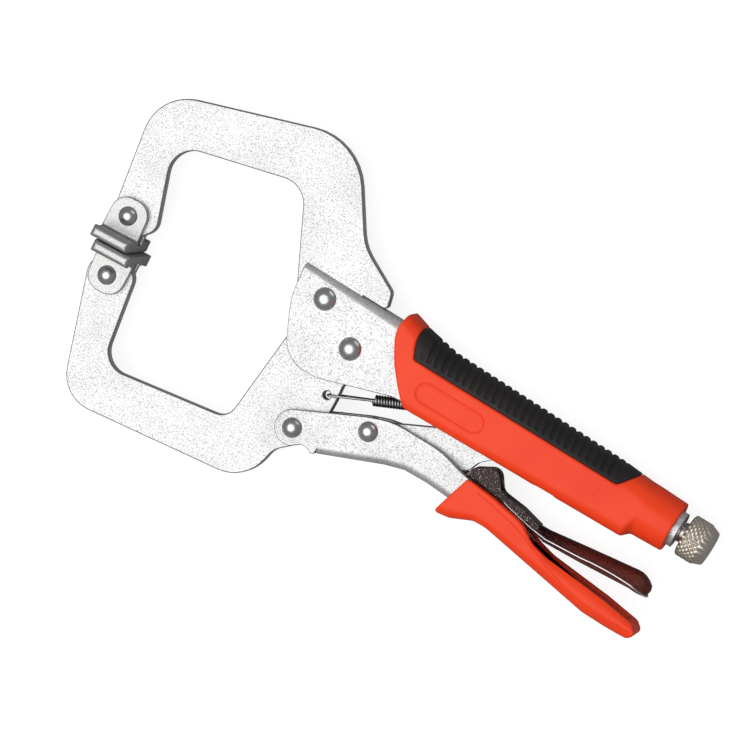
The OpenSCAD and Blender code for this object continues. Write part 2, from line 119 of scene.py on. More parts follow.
IMAGE_POINTS = {
    "object_left_x": (68, None),
    "object_right_x": (718, None),
    "object_top_y": (None, 98),
    "object_bottom_y": (None, 637),
    "fixed_jaw_rivet": (324, 299),
    "jaw_pivot_rivet": (349, 349),
    "handle_pivot_rivet": (291, 428),
    "link_pivot_rivet": (367, 432),
    "upper_pad_rivet": (127, 216),
    "lower_pad_rivet": (106, 275),
    "pill_front": (416.4, 388.3),
    "pill_rear": (482.1, 428.4),
    "grip_bead_front": (512.9, 524.6),
    "grip_bead_rear": (602.6, 616.9),
    "grip_front_tip": (415, 314),
    "grip_collar_foot": (658, 551),
    "lever_tip": (644, 597),
    "lower_grip_tip": (640, 630),
}


# ---- Small modelling helpers ----


def new_piece(name, bm, material, body, slot, *stands_for, smooth=True, sharp=35.0):
    """Makes a finished piece of a bmesh, at the origin, riding on a body."""
    mesh = bpy.data.meshes.new(name)
    bm.to_mesh(mesh)
    bm.free()
    if smooth:
        mesh.shade_smooth()
        mesh.set_sharp_from_angle(angle=math.radians(sharp))
    piece = bpy.data.objects.new(name, mesh)
    bpy.context.scene.collection.objects.link(piece)
    mesh.materials.append(material)
    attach(piece, body)
    if stands_for:
        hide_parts(*stands_for)
    return piece


def solid_copy(node):
    """A merged copy of a solid's loose triangles, with its flat faces whole."""
    bm = bmesh.new()
    bm.from_mesh(frame["nodes"][node].data)
    bmesh.ops.remove_doubles(bm, verts=bm.verts, dist=0.002 * MM)
    bmesh.ops.dissolve_limit(bm, angle_limit=math.radians(0.5), verts=bm.verts, edges=bm.edges)
    return bm


def soften_edges(bm, width, corner=40.0, segments=3, clamp=True):
    """Rounds every edge that turns more than a corner's angle."""
    sharp = [e for e in bm.edges if e.is_manifold and e.calc_face_angle(0.0) > math.radians(corner)]
    return bmesh.ops.bevel(bm, geom=sharp, offset=width * MM, offset_type="OFFSET", segments=segments,
                           profile=0.5, affect="EDGES", material=-1, clamp_overlap=clamp)["faces"]


def dress(node, name, material, width=0.0, corner=40.0, edge=None):
    """Replaces a solid with its own shape, its edges rounded by width and given another finish."""
    bm = solid_copy(node)
    if width:
        for face in soften_edges(bm, width, corner, clamp=edge is None):
            face.material_index = 1 if edge else 0
    bmesh.ops.triangulate(bm, faces=[f for f in bm.faces if len(f.verts) > 4])
    piece = new_piece(name, bm, material, BODY_OF[node], SLOT_OF[node], node)
    if edge:
        piece.data.materials.append(edge)
    even = piece.modifiers.new("Even shading", "WEIGHTED_NORMAL")
    even.keep_sharp = True
    even.weight = 80
    return piece


def spun(places, centre, axis, steps):
    """Turns a line of places, in metres, about an axis."""
    bm = bmesh.new()
    verts = [bm.verts.new(p) for p in places]
    edges = [bm.edges.new(pair) for pair in zip(verts, verts[1:])]
    bmesh.ops.spin(bm, geom=verts + edges, cent=centre, axis=axis, angle=math.tau, steps=steps,
                   use_merge=True)
    bmesh.ops.remove_doubles(bm, verts=bm.verts, dist=0.001 * MM)
    bmesh.ops.recalc_face_normals(bm, faces=bm.faces)
    return bm


def revolve(profile, steps):
    """Turns a profile of (x, radius) points, in millimetres, about the screw's axis."""
    places = [screw_axis(x) + Vector((0, 0, r * MM)) for x, r in profile]
    return spun(places, screw_axis(0), (1, 0, 0), steps)


def screw_axis(x):
    """A point on the screw's axis, x millimetres from the jaw pivot."""
    axis = middle("adjusting_knob")
    return Vector((at(x, 0).x, axis.y, axis.z))


def groove(t):
    """0 on a ridge, 1 at the bottom of the groove, for a phase t."""
    return abs((t % 1.0) * 2.0 - 1.0)


def drop_at(line, x):
    """The height at x of a line through (x, height) points."""
    for (x0, y0), (x1, y1) in zip(line, line[1:]):
        if x <= x1:
            return y0 + (y1 - y0) * max(0.0, (x - x0) / (x1 - x0))
    return line[-1][1]


def smoothstep(low, high, value):
    """0 below low, 1 above high, and an even ease between them."""
    t = min(1.0, max(0.0, (value - low) / (high - low)))
    return t * t * (3.0 - 2.0 * t)


def moulded(node, voxel, rounds):
    """A solid's copy as an even quad skin with its edges melted, as a moulding's are."""
    bm = solid_copy(node)
    mesh = bpy.data.meshes.new("skin")
    bm.to_mesh(mesh)
    bm.free()
    skin = bpy.data.objects.new("skin", mesh)
    bpy.context.scene.collection.objects.link(skin)
    remesh = skin.modifiers.new("Even skin", "REMESH")
    remesh.mode = "VOXEL"
    remesh.voxel_size = voxel * MM
    graph = bpy.context.evaluated_depsgraph_get()
    made = bpy.data.meshes.new_from_object(skin.evaluated_get(graph))
    bm = bmesh.new()
    bm.from_mesh(made)
    for _ in range(rounds):
        bmesh.ops.smooth_vert(bm, verts=bm.verts, factor=0.5, use_axis_x=True, use_axis_y=True,
                              use_axis_z=True)
    bpy.data.objects.remove(skin)
    bpy.data.meshes.remove(mesh)
    bpy.data.meshes.remove(made)
    return bm


def tube(points, radius, closed=False):
    """A round wire through points, in metres, with its ends closed or joined."""
    curve = bpy.data.curves.new("wire", "CURVE")
    curve.dimensions = "3D"
    curve.bevel_depth = radius * MM
    curve.bevel_resolution = 3
    curve.use_fill_caps = not closed
    spline = curve.splines.new("POLY")
    spline.points.add(len(points) - 1)
    spline.use_cyclic_u = closed
    for spot, place in zip(spline.points, points):
        spot.co = (*place, 1.0)
    wire = bpy.data.objects.new("wire", curve)
    bpy.context.scene.collection.objects.link(wire)
    made = bpy.data.meshes.new_from_object(wire.evaluated_get(bpy.context.evaluated_depsgraph_get()))
    bm = bmesh.new()
    bm.from_mesh(made)
    bpy.data.objects.remove(wire)
    bpy.data.curves.remove(curve)
    bpy.data.meshes.remove(made)
    bmesh.ops.remove_doubles(bm, verts=bm.verts, dist=0.001 * MM)
    bmesh.ops.recalc_face_normals(bm, faces=bm.faces)
    return bm


def join(bm, part):
    """Adds one bmesh to another, and frees it."""
    mesh = bpy.data.meshes.new("part")
    part.to_mesh(mesh)
    part.free()
    bm.from_mesh(mesh)
    bpy.data.meshes.remove(mesh)


# ---- Placing by the photograph ----


class Carrier:
    """Finished pieces that carry trim, for sight lines and drops onto their surface."""

    def __init__(self, *names):
        graph = bpy.context.evaluated_depsgraph_get()
        verts, faces = [], []
        for name in names:
            shape = bpy.data.objects[name].evaluated_get(graph)
            first = len(verts)
            verts += [shape.matrix_world @ v.co for v in shape.data.vertices]
            faces += [[first + i for i in face.vertices] for face in shape.data.polygons]
        self.tree = BVHTree.FromPolygons(verts, faces)

    def seen_at(self, x, y):
        """The surface's place at an image point, or else the one nearest to its sight line."""
        camera = bpy.context.scene.camera.matrix_world
        eye = camera.translation
        along = camera.to_3x3() @ Vector((x - FRAME_W / 2 + SHIFT[0] * LONG_SIDE,
                                          FRAME_H / 2 - y + SHIFT[1] * LONG_SIDE,
                                          -LONG_SIDE * LENS / SENSOR))
        along.normalize()
        place = self.tree.ray_cast(eye, along)[0]
        if place is None:
            reach = (at(0, 0) - eye).length
            tries = [self.tree.find_nearest(eye + along * (reach + i * MM)) for i in range(-160, 161)]
            place = min(tries, key=lambda found: found[3])[0]
        return place

    def under(self, place, side):
        """The surface straight below a place, seen from +Z for side 1 and from -Z for side -1."""
        start = Vector((place.x, place.y, JAW_PIVOT.z + side * 0.05))
        return self.tree.ray_cast(start, Vector((0, 0, -side)))[0]


# ---- Materials ----


class Graph:
    """Adds and links shader nodes in one tree."""

    def __init__(self, tree):
        self.tree = tree

    def add(self, kind, **values):
        made = self.tree.nodes.new(kind)
        for key, value in values.items():
            setattr(made, key, value)
        return made

    def link(self, source, target):
        self.tree.links.new(source, target)

    def noise(self, where, size, detail=2.0, rough=0.5):
        """Noise whose features are about size millimetres."""
        made = self.add("ShaderNodeTexNoise")
        made.inputs["Scale"].default_value = 1.0 / (size * MM)
        made.inputs["Detail"].default_value = detail
        made.inputs["Roughness"].default_value = rough
        self.link(where, made.inputs["Vector"])
        return made.outputs["Fac"]

    def span(self, value, from_low, from_high, to_low=0.0, to_high=1.0):
        made = self.add("ShaderNodeMapRange")
        for name, number in (("From Min", from_low), ("From Max", from_high),
                             ("To Min", to_low), ("To Max", to_high)):
            made.inputs[name].default_value = number
        self.link(value, made.inputs["Value"])
        return made.outputs["Result"]

    def math(self, how, a, b):
        made = self.add("ShaderNodeMath", operation=how)
        for socket, value in zip(made.inputs, (a, b)):
            if isinstance(value, (int, float)):
                socket.default_value = value
            else:
                self.link(value, socket)
        return made.outputs["Value"]

    def mix(self, factor, a, b):
        made = self.add("ShaderNodeMix", data_type="RGBA")
        for name, value in (("Factor", factor), ("A", a), ("B", b)):
            socket = made.inputs[name]
            if isinstance(value, (int, float)):
                socket.default_value = value
            elif isinstance(value, (tuple, list)):
                socket.default_value = (*value[:3], 1.0)
            else:
                self.link(value, socket)
        return made.outputs["Result"]


FLOAT, COLOUR = "NodeSocketFloat", "NodeSocketColor"


def pattern(name, *inputs):
    """Turns a function that draws a pattern into one that gives its shader group, made only once."""
    def wrap(draw):
        def group():
            tree = bpy.data.node_groups.get(name)
            if tree is None:
                tree = bpy.data.node_groups.new(name, "ShaderNodeTree")
                for label, value in inputs:
                    kind = COLOUR if isinstance(value, tuple) else FLOAT
                    socket = tree.interface.new_socket(name=label, in_out="INPUT", socket_type=kind)
                    socket.default_value = value
                for label, kind in (("Color", COLOUR), ("Roughness", FLOAT), ("Height", FLOAT)):
                    tree.interface.new_socket(name=label, in_out="OUTPUT", socket_type=kind)
                g = Graph(tree)
                given, out = g.add("NodeGroupInput").outputs, g.add("NodeGroupOutput").inputs
                draw(g, g.add("ShaderNodeTexCoord").outputs["Object"], given, out)
            return tree
        return group
    return wrap


@pattern("Blasted plating", ("Base", (0.8, 0.8, 0.8, 1)), ("Pit", (0.4, 0.4, 0.4, 1)),
         ("Grain mm", 0.5), ("Pitting", 0.5), ("Roughness", 0.4))
def plating_group(g, where, given, out):
    """Blasted and plated sheet: dark pits in pale zinc, faint clouds, and rubbed marks."""
    scale = g.math("DIVIDE", 1.0 / MM, given["Grain mm"])
    grain = g.add("ShaderNodeTexNoise")
    grain.inputs["Detail"].default_value = 3.0
    grain.inputs["Roughness"].default_value = 0.7
    g.link(where, grain.inputs["Vector"])
    g.link(scale, grain.inputs["Scale"])
    pits = g.span(grain.outputs["Fac"], 0.52, 0.66)
    clouds = g.noise(where, 22.0, 3.0)
    marks = g.span(g.noise(where, 4.0, 5.0, 0.75), 0.55, 0.75)
    colour = g.mix(g.math("MULTIPLY", pits, given["Pitting"]), given["Base"], given["Pit"])
    shade = g.mix(g.span(clouds, 0.35, 0.7, 0.0, 0.25), colour, given["Pit"])
    g.link(shade, out["Color"])
    rough = g.math("ADD", given["Roughness"], g.span(marks, 0.0, 1.0, -0.03, 0.07))
    g.link(g.math("ADD", rough, g.span(pits, 0.0, 1.0, 0.0, 0.08)), out["Roughness"])
    g.link(g.math("SUBTRACT", 1.0, pits), out["Height"])


@pattern("Polished steel", ("Base", (0.8, 0.8, 0.8, 1)), ("Tarnish", (0.3, 0.28, 0.26, 1)),
         ("Smudge", 0.2), ("Specks", 0.35), ("Roughness", 0.12))
def polish_group(g, where, given, out):
    """Polished steel: fingered smudges and a few dark specks."""
    smudge = g.span(g.noise(where, 5.0, 4.0, 0.6), 0.45, 0.7)
    specks = g.span(g.noise(where, 0.35, 2.0), 0.62, 0.72)
    dirt = g.math("ADD", g.math("MULTIPLY", smudge, given["Smudge"]),
                  g.math("MULTIPLY", specks, given["Specks"]))
    g.link(g.mix(dirt, given["Base"], given["Tarnish"]), out["Color"])
    g.link(g.math("ADD", given["Roughness"], g.span(smudge, 0.0, 1.0, 0.0, 0.12)), out["Roughness"])
    g.link(g.noise(where, 0.8, 3.0), out["Height"])


@pattern("Dark chrome", ("Base", (0.04, 0.03, 0.03, 1)), ("Tail", (0.2, 0.05, 0.04, 1)),
         ("Fleck", (0.6, 0.55, 0.5, 1)), ("Tail from", 0.08), ("Tail to", 0.1), ("Specks", 0.9),
         ("Roughness", 0.25))
def dark_chrome_group(g, where, given, out):
    """Dark chrome over grit: pale specks at the pivot, then a mottled maroon painted reflection along the
    paddle.
    """
    axes = g.add("ShaderNodeSeparateXYZ")
    g.link(where, axes.inputs["Vector"])
    along = g.math("SUBTRACT", axes.outputs["X"], given["Tail from"])
    tail = g.math("DIVIDE", along, g.math("SUBTRACT", given["Tail to"], given["Tail from"]))
    tail = g.span(tail, 0.0, 1.0)
    grit = g.noise(where, 0.42, 2.0)
    specks = g.math("MULTIPLY", g.span(grit, 0.62, 0.74), given["Specks"])
    fewer = g.math("MULTIPLY", specks, g.span(tail, 0.0, 1.0, 1.0, 0.3))
    mottle = g.span(g.noise(where, 1.4, 4.0, 0.7), 0.4, 0.65, 0.0, 0.55)
    # The maroon is a painted reflection of the orange grip and the hand, faded in along the paddle.
    paddle = g.mix(mottle, given["Tail"], given["Base"])
    g.link(g.mix(fewer, g.mix(tail, given["Base"], paddle), given["Fleck"]), out["Color"])
    g.link(g.math("ADD", given["Roughness"], g.span(tail, 0.0, 1.0, 0.0, 0.16)), out["Roughness"])
    g.link(grit, out["Height"])


@pattern("Moulded elastomer", ("Base", (0.8, 0.1, 0.05, 1)), ("Shade", (0.5, 0.05, 0.02, 1)),
         ("Grain mm", 0.5), ("Roughness", 0.4))
def moulding_group(g, where, given, out):
    """Moulded elastomer: fine leathery grain, faint flow clouds and rubbed high spots."""
    cells = g.add("ShaderNodeTexVoronoi", feature="SMOOTH_F1")
    g.link(where, cells.inputs["Vector"])
    g.link(g.math("DIVIDE", 1.0 / MM, given["Grain mm"]), cells.inputs["Scale"])
    clouds = g.noise(where, 18.0, 3.0)
    rubbed = g.span(g.noise(where, 7.0, 5.0, 0.7), 0.5, 0.75)
    g.link(g.mix(g.span(clouds, 0.35, 0.7, 0.0, 0.45), given["Base"], given["Shade"]), out["Color"])
    rough = g.math("SUBTRACT", given["Roughness"], g.span(rubbed, 0.0, 1.0, 0.0, 0.09))
    g.link(g.math("ADD", rough, g.span(clouds, 0.3, 0.7, -0.03, 0.04)), out["Roughness"])
    g.link(cells.outputs["Distance"], out["Height"])


def finish(name, group, values, bump, depth, **shader):
    """A material of one shader fed by a shared group."""
    found = bpy.data.materials.get(name)
    if found:
        return found
    material = bpy.data.materials.new(name)
    material.use_nodes = True
    g = Graph(material.node_tree)
    surface = material.node_tree.nodes["Principled BSDF"]
    pattern = g.add("ShaderNodeGroup", node_tree=group)
    for label, value in values.items():
        pattern.inputs[label].default_value = (*value, 1.0) if isinstance(value, tuple) else value
    g.link(pattern.outputs["Color"], surface.inputs["Base Color"])
    g.link(pattern.outputs["Roughness"], surface.inputs["Roughness"])
    relief = g.add("ShaderNodeBump")
    relief.inputs["Strength"].default_value = bump
    relief.inputs["Distance"].default_value = depth * MM
    g.link(pattern.outputs["Height"], relief.inputs["Height"])
    g.link(relief.outputs["Normal"], surface.inputs["Normal"])
    for label, value in shader.items():
        surface.inputs[label.replace("_", " ")].default_value = value
    return material


def plated(name, base, pit, grain=0.6, pitting=0.85, rough=0.42, metal=0.6):
    return finish(name, plating_group(), {"Base": base, "Pit": pit, "Grain mm": grain,
                                          "Pitting": pitting, "Roughness": rough},
                  0.35, 0.06, Metallic=metal)


def polished(name, base, tarnish, smudge=0.2, rough=0.12, specks=0.35):
    return finish(name, polish_group(), {"Base": base, "Tarnish": tarnish, "Smudge": smudge,
                                         "Specks": specks, "Roughness": rough}, 0.12, 0.02, Metallic=1.0)


def rubber(name, base, shade, grain=0.5, rough=0.42, bump=0.25):
    return finish(name, moulding_group(), {"Base": base, "Shade": shade, "Grain mm": grain,
                                           "Roughness": rough}, bump, 0.06,
                  Metallic=0.0, Specular_IOR_Level=0.22)


def looks():
    return bpy.context.scene.clamp_colours


def sizes():
    return bpy.context.scene.clamp_sizes


def colour(name):
    return tuple(getattr(looks(), name))


def jaw_plate():
    return plated("Jaw plate", colour("plate"), colour("plate_pit"))


def handle_plate():
    return plated("Handle plate", colour("handle"), colour("plate_pit"), rough=0.45)


def cut_edge():
    return plated("Cut edge", colour("cut_edge"), colour("plate_pit"), rough=0.5)


def pad_steel():
    return plated("Pad steel", colour("pad"), colour("plate_pit"), grain=0.5, rough=0.36, metal=0.8)


def rivet_chrome():
    return polished("Rivet chrome", colour("chrome"), colour("tarnish"), 0.5, 0.24)


def lever_chrome():
    # Dark chrome whose paddle carries a painted maroon reflection.
    return finish("Lever chrome", dark_chrome_group(),
                  {"Base": colour("lever"), "Tail": colour("lever_painted_reflection"), "Fleck": colour("lever_fleck"),
                   "Tail from": at(103.0, 0).x, "Tail to": at(121.0, 0).x},
                  0.3, 0.04, Metallic=0.55, Specular_IOR_Level=0.15)


# Pale chrome on the lever's rolled edge, where the sheet is dark chrome: a painted highlight.
def lever_highlight_edge():
    return polished("Lever edge", colour("chrome"), colour("tarnish"), 0.3, 0.3)


def knob_nickel():
    return polished("Knob nickel", colour("nickel"), colour("tarnish"), 0.3, 0.36)


def screw_steel():
    return polished("Screw steel", colour("chrome"), colour("tarnish"), 0.3, 0.2)


def spring_steel():
    return polished("Spring steel", colour("spring"), (0.05, 0.05, 0.05), 0.3, 0.25)


def orange_grip():
    return rubber("Orange grip", colour("orange"), colour("orange_shade"))


def black_grip():
    return rubber("Black inlay", colour("black"), (0.006, 0.006, 0.007), 0.4, 0.55, 0.4)


# ---- Settings ----


def length(name, text, value, low=0.0, high=50.0):
    return FloatProperty(name=name, description=text, default=value, min=low, max=high)


def tint(name, text, value):
    return FloatVectorProperty(name=name, description=text, subtype="COLOR", size=3, default=value,
                               min=0.0, max=1.0)


class ClampSizes(bpy.types.PropertyGroup):
    """Sizes of the visible detail, in millimetres."""

    plate_edge: length("Plate edge", "Rounding of the jaws' edges, in mm", 0.45)
    sheet_edge: length("Sheet edge", "Rounding of the folded sheet's edges, in mm", 0.3)
    pad_skin: length("Pad skin", "Size of the mesh cells on the pads, in mm", 0.26)
    grip_skin: length("Grip skin", "Size of the mesh cells on the grips, in mm", 0.6, 0.2, 2.0)
    rib_pitch: length("Rib pitch", "Distance between the inlay's ribs, in mm", 3.3, 1.0)
    rib_depth: length("Rib depth", "Depth of the grooves between the inlay's ribs, in mm", 0.75)
    knurl_depth: length("Knurl depth", "Depth of the knob's knurling, in mm", 0.6)
    knurl_count: IntProperty(name="Knurl count", description="Knurls round the knob", default=24, min=8)
    thread_pitch: length("Thread pitch", "Pitch of the adjusting screw's thread, in mm", 1.5, 0.5)
    thread_depth: length("Thread depth", "Depth of the adjusting screw's thread, in mm", 0.6)
    coil_wire: length("Spring wire", "Diameter of the spring's wire, in mm", 1.05, 0.2)


class ClampColours(bpy.types.PropertyGroup):
    """Colours of the clamp's finishes."""

    plate: tint("Plate", "Zinc plating of the jaws and the body", (0.605, 0.605, 0.608))
    handle: tint("Handle", "Zinc plating of the lower handle", (0.62, 0.62, 0.612))
    pad: tint("Pad", "Zinc plating of the swivel pads", (0.45, 0.45, 0.44))
    plate_pit: tint("Pits", "Dark flecks in the plating", (0.22, 0.22, 0.22))
    # A darker colour on the rounded edges of the plates and sheets.
    cut_edge: tint("Cut edge", "Darker colour on the rounded edges", (0.20, 0.20, 0.20))
    chrome: tint("Chrome", "Polished rivets", (0.56, 0.56, 0.57))
    tarnish: tint("Tarnish", "Smudges on polished steel", (0.30, 0.29, 0.28))
    lever: tint("Lever", "Dark chrome of the release lever", (0.022, 0.014, 0.013))
    lever_fleck: tint("Lever flecks", "Bright flecks in the release lever's chrome", (0.55, 0.50, 0.48))
    # Painted reflection: the grip's and the hand's maroon, mirrored in the paddle, painted into its
    # colour.
    lever_painted_reflection: tint("Lever paddle painted reflection", "Painted maroon reflection on the paddle's chrome", (0.17, 0.042, 0.032))
    nickel: tint("Nickel", "Nickel plating of the knob", (0.62, 0.56, 0.48))
    spring: tint("Spring", "Drawn spring wire", (0.32, 0.32, 0.32))
    orange: tint("Orange", "The grips", (0.93, 0.056, 0.010))
    orange_shade: tint("Orange shade", "Deeper clouds in the grips", (0.86, 0.042, 0.010))
    black: tint("Black", "The ribbed inlay", (0.020, 0.017, 0.016))


# ---- Pieces ----


class CLAMP_OT_jaws(bpy.types.Operator):
    """Fixed and moving C jaws, plates with rounded edges"""

    bl_idname = "clamp.jaws"
    bl_label = "Jaws"

    def execute(self, context):
        for node in ("fixed_jaw", "moving_jaw"):
            dress(node, node + "_plate", jaw_plate(), sizes().plate_edge, edge=cut_edge())
        return {"FINISHED"}


class CLAMP_OT_channels(bpy.types.Operator):
    """Folded body, lower handle, toggle link and the release lever"""

    bl_idname = "clamp.channels"
    bl_label = "Channels, link and lever"

    def execute(self, context):
        width = sizes().sheet_edge
        dress("body_channel", "body_sheet", jaw_plate(), width, edge=cut_edge())
        dress("lower_handle", "handle_sheet", handle_plate(), width, edge=cut_edge())
        dress("toggle_link", "link_plate", jaw_plate(), width, edge=cut_edge())
        self.lever()
        dress("lever_pin", "lever_pin_rod", screw_steel())
        return {"FINISHED"}

    # The lever in (x, value) points, in millimetres from the jaw pivot. First, how far the paddle's rim
    # and its rolled edge drop below the solid's rim, and how far its crown rises
    RIM_DROP = ((98.0, 0.0), (106.0, 1.0), (126.0, 1.2), (133.0, 1.6), (141.0, 2.4), (149.0, 4.3))
    CROWN_RISE = ((98.0, 0.0), (108.0, 0.7), (140.0, 0.7), (149.0, 0.0))
    EDGE_DROP = ((98.0, 0.0), (126.0, 0.1), (133.0, 0.7), (141.0, 1.8), (149.0, 4.3))

    # Then the solid's own crown and rim, and half the paddle's width
    CROWN = ((98.0, -20.2), (104.0, -20.4), (119.0, -18.5), (141.0, -15.6), (149.0, -18.6))
    RIM = ((98.0, -23.5), (104.0, -23.9), (119.0, -22.5), (141.0, -19.6), (149.0, -18.7))
    PADDLE_HALF = ((97.0, 3.9), (101.0, 4.7), (103.5, 5.4), (119.0, 7.3), (141.2, 7.3))

    # The ears' roof, where it rolls over into their sides, and the paddle behind it
    ROOF_FROM, ROOF_TO, EAR_OUTSIDE, ROLL = 79.0, 99.5, 4.2, 1.3
    PADDLE_FROM, NOSE_FROM, NOSE_R, NOSE_TIP = 98.0, 141.2, 7.3, 148.5

    # The rolled edge: its places along the ears and the paddle, its radius, and its height on the rim
    EAR_EDGE = ((82.4, -19.7, 4.1), (85.0, -20.4, 4.1), (91.0, -21.7, 4.1))
    EDGE_STOPS = (97.0, 100.0, 104.0, 109.0, 114.0, 119.0, 124.0, 129.0, 134.0, 138.0, NOSE_FROM)
    EDGE_R, EDGE_LIFT = 0.42, 0.6

    def lever(self):
        """The paddle's rim deepens towards its round nose, and the ears' roof rolls into their sides."""
        bm = solid_copy("release_lever")
        bmesh.ops.bevel(bm, geom=[e for e in bm.edges if self.on_roof(e)], offset=self.ROLL * MM,
                        offset_type="OFFSET", segments=5, profile=0.5, affect="EDGES", material=-1,
                        clamp_overlap=True)
        for v in bm.verts:
            p = local(v.co)
            if p.x > self.PADDLE_FROM:
                crown, rim = drop_at(self.CROWN, p.x), drop_at(self.RIM, p.x)
                depth = min(1.0, max(0.0, (crown - p.y) / max(0.5, crown - rim)))
                lift = drop_at(self.CROWN_RISE, p.x) * (1.0 - depth)
                v.co.y += (lift - drop_at(self.RIM_DROP, p.x) * depth) * MM
        soften_edges(bm, 0.45, 55.0)
        bmesh.ops.triangulate(bm, faces=[f for f in bm.faces if len(f.verts) > 4])
        new_piece("lever_sheet", bm, lever_chrome(), "lever", "lever_steel", "release_lever", sharp=50.0)
        self.rolled_edge()

    def on_roof(self, edge):
        """Whether an edge runs along the roof of the ears, between a level and an upright face."""
        if not edge.is_manifold:
            return False
        ends = [local(v.co) for v in edge.verts]
        if not all(self.ROOF_FROM < p.x < self.ROOF_TO and abs(p.z) > self.EAR_OUTSIDE for p in ends):
            return False
        ups = sorted(f.normal.y for f in edge.link_faces)
        return ups[1] > 0.8 and abs(ups[0]) < 0.3

    def rolled_edge(self):
        """The rolled edge, from one ear round the nose to the other, in pale chrome: partly its curve
        catching the light, partly a painted highlight.
        """
        rim = [at(*place) for place in self.EAR_EDGE]
        for x in self.EDGE_STOPS:
            rim.append(at(x, self.rim_y(x), drop_at(self.PADDLE_HALF, x)))
        for a in range(15, 90, 15):
            x = self.NOSE_FROM + self.NOSE_R * math.sin(math.radians(a))
            rim.append(at(x, self.rim_y(x), self.NOSE_R * math.cos(math.radians(a))))
        tip = at(self.NOSE_TIP, self.rim_y(self.NOSE_TIP), 0)
        rim += [tip] + [Vector((p.x, p.y, 2 * JAW_PIVOT.z - p.z)) for p in reversed(rim)]
        new_piece("lever_rolled_edge", tube(rim, self.EDGE_R), lever_highlight_edge(), "lever", "lever_steel",
                  sharp=80.0)

    def rim_y(self, x):
        """The height of the rolled edge at x."""
        return drop_at(self.RIM, x) - drop_at(self.EDGE_DROP, x) + self.EDGE_LIFT


class CLAMP_OT_rivets(bpy.types.Operator):
    """Six rivets, with a domed head on each side"""

    bl_idname = "clamp.rivets"
    bl_label = "Rivets"

    HEAD_H = 2.4
    SHANK_SHARE = 0.64
    DOME_STEPS = 14

    def execute(self, context):
        for node in ("fixed_jaw_rivet", "jaw_pivot_rivet", "handle_pivot_rivet", "link_pivot_rivet",
                     "upper_pad_rivet", "lower_pad_rivet"):
            self.rivet(node)
        return {"FINISHED"}

    def rivet(self, node):
        """Two domed heads on a shank, spun from one profile."""
        low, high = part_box(node)
        centre = (low + high) / 2
        head_r = (high.x - low.x) / 2
        half = (high.z - low.z) / 2
        head_h = self.HEAD_H * MM
        shank_r = head_r * self.SHANK_SHARE
        ball_r = (head_r ** 2 + head_h ** 2) / (2 * head_h)
        seat = half - head_h
        dome = []
        for i in range(self.DOME_STEPS):
            r = head_r * math.sin(math.pi / 2 * i / self.DOME_STEPS)
            dome.append((r, seat - ball_r + head_h + math.sqrt(ball_r ** 2 - r ** 2)))
        upper = dome + [(head_r * 0.992, seat + 0.12 * MM), (head_r * 0.985, seat), (shank_r, seat)]
        profile = upper + [(r, -z) for r, z in reversed(upper)]
        bm = spun([centre + Vector((r, 0, z)) for r, z in profile], centre, (0, 0, 1), 56)
        new_piece(node + "_dome", bm, rivet_chrome(), BODY_OF[node], SLOT_OF[node], node, sharp=50.0)


